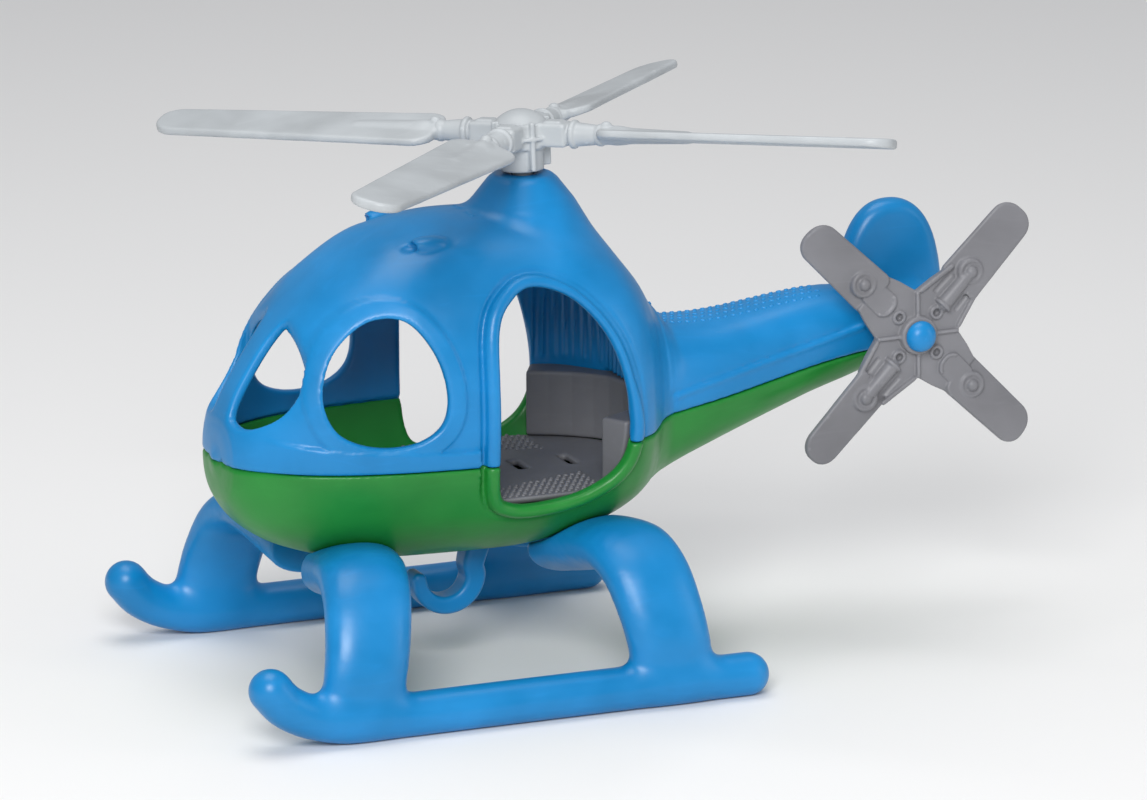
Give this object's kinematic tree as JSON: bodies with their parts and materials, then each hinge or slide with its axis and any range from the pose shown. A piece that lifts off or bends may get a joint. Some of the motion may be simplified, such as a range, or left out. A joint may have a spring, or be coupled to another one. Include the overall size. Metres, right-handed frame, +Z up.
{
  "type": "toy helicopter",
  "caption": "Moulded plastic toy helicopter with an open cabin, arched skid landing gear, a cargo hook, and free-spinning main and tail rotors.",
  "frame": {"origin": "on the ground under the middle of the object's bounding box", "axes": "+X towards the tail, -Y towards the port side, +Z up"},
  "size_m": [0.267, 0.1745, 0.1693],
  "materials": {
    "blue_plastic": "satin",
    "green_plastic": "satin",
    "light_grey_plastic": "satin",
    "mid_grey_plastic": "satin",
    "floor_grey_plastic": "satin"
  },
  "bodies": {
    "airframe": {"upper_shell": "blue_plastic", "skid_port": "blue_plastic", "skid_starboard": "blue_plastic", "front_leg_port": "blue_plastic", "front_leg_starboard": "blue_plastic", "rear_leg_port": "blue_plastic", "rear_leg_starboard": "blue_plastic", "cargo_hook": "blue_plastic", "tail_rotor_pin": "blue_plastic", "lower_shell": "green_plastic", "cabin_floor": "floor_grey_plastic", "cabin_bulkhead": "floor_grey_plastic", "rotor_mast": "light_grey_plastic"},
    "main_rotor": {"main_rotor_hub": "light_grey_plastic", "main_rotor_cap": "light_grey_plastic", "main_rotor_blade_1": "light_grey_plastic", "main_rotor_blade_2": "light_grey_plastic", "main_rotor_blade_3": "light_grey_plastic", "main_rotor_blade_4": "light_grey_plastic"},
    "tail_rotor": {"tail_rotor_hub": "mid_grey_plastic", "tail_rotor_blade_1": "mid_grey_plastic", "tail_rotor_blade_2": "mid_grey_plastic", "tail_rotor_blade_3": "mid_grey_plastic", "tail_rotor_blade_4": "mid_grey_plastic"}
  },
  "joints": [
    {"name": "main_rotor_spin", "type": "hinge", "parent": "airframe", "child": "main_rotor", "pos_m": [-0.022, 0, 0.149], "axis": [-0.0139, 0.0558, 0.9983], "continuous": true},
    {"name": "tail_rotor_spin", "type": "hinge", "parent": "airframe", "child": "tail_rotor", "pos_m": [0.0966, -0.0215, 0.093], "axis": [0, -1, 0], "continuous": true}
  ]
}
